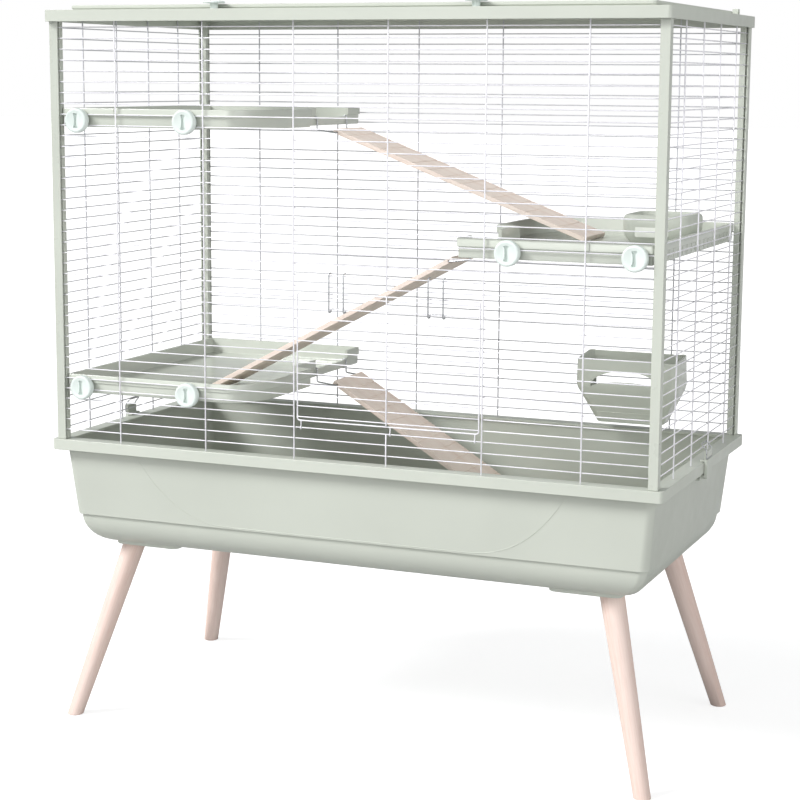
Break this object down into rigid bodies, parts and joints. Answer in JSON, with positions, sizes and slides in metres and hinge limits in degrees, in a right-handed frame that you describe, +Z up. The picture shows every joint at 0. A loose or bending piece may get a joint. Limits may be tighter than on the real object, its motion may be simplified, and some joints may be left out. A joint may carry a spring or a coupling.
{
  "type": "small pet cage",
  "caption": "Wire small-pet cage on a deep plastic tub with splayed wooden legs: shelves joined by ramps, a drop-down front door, a hinged roof lid, a bowl and a hay rack.",
  "frame": {"origin": "on the floor, under the middle of the cage", "axes": "+Z up, the front with the door faces -Y, +X to the right of someone who faces the front"},
  "size_m": [1.0212, 0.52, 1.1531],
  "materials": {
    "sage_plastic": "satin moulded",
    "mint_plastic": "fine matt",
    "white_wire": "white coated wire",
    "bright_wire": "bright drawn wire",
    "pale_wood": "sanded, unvarnished"
  },
  "bodies": {
    "cage": {"tub": "sage_plastic", "bottom_frame": "sage_plastic", "top_frame": "sage_plastic", "post_front_left": "sage_plastic", "post_front_right": "sage_plastic", "post_rear_left": "sage_plastic", "post_rear_right": "sage_plastic", "grille_front": "white_wire", "grille_rear": "white_wire", "grille_left": "white_wire", "grille_right": "white_wire", "shelf_upper": "sage_plastic", "shelf_middle": "sage_plastic", "shelf_lower": "sage_plastic", "ramp_hanger_upper": "bright_wire", "ramp_hanger_middle": "bright_wire", "ramp_hanger_lower": "bright_wire", "leg_front_left": "pale_wood", "leg_front_right": "pale_wood", "leg_rear_left": "pale_wood", "leg_rear_right": "pale_wood"},
    "door": {"door": "white_wire"},
    "door_latch_left": {"door_latch_left": "bright_wire"},
    "door_latch_right": {"door_latch_right": "bright_wire"},
    "roof_lid": {"roof_lid": "sage_plastic", "roof_grille": "white_wire"},
    "roof_lock_left": {"roof_lock_left": "mint_plastic"},
    "roof_lock_right": {"roof_lock_right": "mint_plastic"},
    "side_latch_left": {"side_latch_left": "sage_plastic"},
    "side_latch_right": {"side_latch_right": "sage_plastic"},
    "side_bail_left": {"side_bail_left": "bright_wire"},
    "side_bail_right": {"side_bail_right": "bright_wire"},
    "bowl": {"bowl": "sage_plastic"},
    "hay_rack": {"hay_rack": "sage_plastic"},
    "ramp_upper": {"ramp_upper": "pale_wood"},
    "ramp_middle": {"ramp_middle": "pale_wood"},
    "ramp_lower": {"ramp_lower": "pale_wood"},
    "knob_upper_left": {"knob_upper_left": "mint_plastic"},
    "knob_upper_right": {"knob_upper_right": "mint_plastic"},
    "knob_middle_left": {"knob_middle_left": "mint_plastic"},
    "knob_middle_right": {"knob_middle_right": "mint_plastic"},
    "knob_lower_left": {"knob_lower_left": "mint_plastic"},
    "knob_lower_right": {"knob_lower_right": "mint_plastic"}
  },
  "joints": [
    {"name": "door_hinge", "type": "hinge", "parent": "cage", "child": "door", "pos_m": [0.07625, -0.2465, 0.5131], "axis": [1, 0, 0], "range_deg": [0, 160]},
    {"name": "door_latch_left_turn", "type": "hinge", "parent": "door", "child": "door_latch_left", "pos_m": [-0.005, -0.2465, 0.6968], "axis": [1, 0, 0], "range_deg": [0, 120]},
    {"name": "door_latch_right_turn", "type": "hinge", "parent": "door", "child": "door_latch_right", "pos_m": [0.155, -0.2465, 0.6968], "axis": [1, 0, 0], "range_deg": [0, 120]},
    {"name": "roof_lid_hinge", "type": "hinge", "parent": "cage", "child": "roof_lid", "pos_m": [0, 0.22625, 1.14505], "axis": [-1, 0, 0], "range_deg": [0, 105]},
    {"name": "roof_lock_left_turn", "type": "hinge", "parent": "cage", "child": "roof_lock_left", "pos_m": [-0.21, -0.2435, 1.141], "axis": [0, 0, 1], "range_deg": [0, 180]},
    {"name": "roof_lock_right_turn", "type": "hinge", "parent": "cage", "child": "roof_lock_right", "pos_m": [0.21, -0.2435, 1.141], "axis": [0, 0, 1], "range_deg": [0, 180]},
    {"name": "side_latch_left_turn", "type": "hinge", "parent": "cage", "child": "side_latch_left", "pos_m": [-0.4985, 0, 0.4405], "axis": [0, -1, 0], "range_deg": [0, 80]},
    {"name": "side_latch_right_turn", "type": "hinge", "parent": "cage", "child": "side_latch_right", "pos_m": [0.4985, 0, 0.4405], "axis": [0, 1, 0], "range_deg": [0, 80]},
    {"name": "side_bail_left_turn", "type": "hinge", "parent": "side_latch_left", "child": "side_bail_left", "pos_m": [-0.5092, 0, 0.4695], "axis": [0, -1, 0], "range_deg": [0, 75]},
    {"name": "side_bail_right_turn", "type": "hinge", "parent": "side_latch_right", "child": "side_bail_right", "pos_m": [0.5092, 0, 0.4695], "axis": [0, 1, 0], "range_deg": [0, 75]},
    {"name": "ramp_upper_swing", "type": "hinge", "parent": "cage", "child": "ramp_upper", "pos_m": [-0.1496, 0.127, 0.9503], "axis": [0, -1, 0], "range_deg": [0, 35]},
    {"name": "ramp_middle_swing", "type": "hinge", "parent": "cage", "child": "ramp_middle", "pos_m": [0.1497, -0.127, 0.7705], "axis": [0, 1, 0], "range_deg": [0, 45]},
    {"name": "ramp_lower_swing", "type": "hinge", "parent": "cage", "child": "ramp_lower", "pos_m": [-0.1497, 0.127, 0.5279], "axis": [0, -1, 0], "range_deg": [0, 8]},
    {"name": "knob_upper_left_turn", "type": "hinge", "parent": "cage", "child": "knob_upper_left", "pos_m": [-0.4475, -0.248, 0.9714], "axis": [0, -1, 0], "continuous": true},
    {"name": "knob_upper_right_turn", "type": "hinge", "parent": "cage", "child": "knob_upper_right", "pos_m": [-0.258, -0.248, 0.9714], "axis": [0, -1, 0], "continuous": true},
    {"name": "knob_middle_left_turn", "type": "hinge", "parent": "cage", "child": "knob_middle_left", "pos_m": [0.266, -0.248, 0.7926], "axis": [0, -1, 0], "continuous": true},
    {"name": "knob_middle_right_turn", "type": "hinge", "parent": "cage", "child": "knob_middle_right", "pos_m": [0.4555, -0.248, 0.7926], "axis": [0, -1, 0], "continuous": true},
    {"name": "knob_lower_left_turn", "type": "hinge", "parent": "cage", "child": "knob_lower_left", "pos_m": [-0.4475, -0.248, 0.5504], "axis": [0, -1, 0], "continuous": true},
    {"name": "knob_lower_right_turn", "type": "hinge", "parent": "cage", "child": "knob_lower_right", "pos_m": [-0.258, -0.248, 0.5504], "axis": [0, -1, 0], "continuous": true},
    {"name": "bowl_lift", "type": "slide", "parent": "cage", "child": "bowl", "axis": [0, 0, 1], "range_m": [0, 0.1]},
    {"name": "hay_rack_lift", "type": "slide", "parent": "cage", "child": "hay_rack", "axis": [0, 0, 1], "range_m": [0, 0.012]}
  ]
}
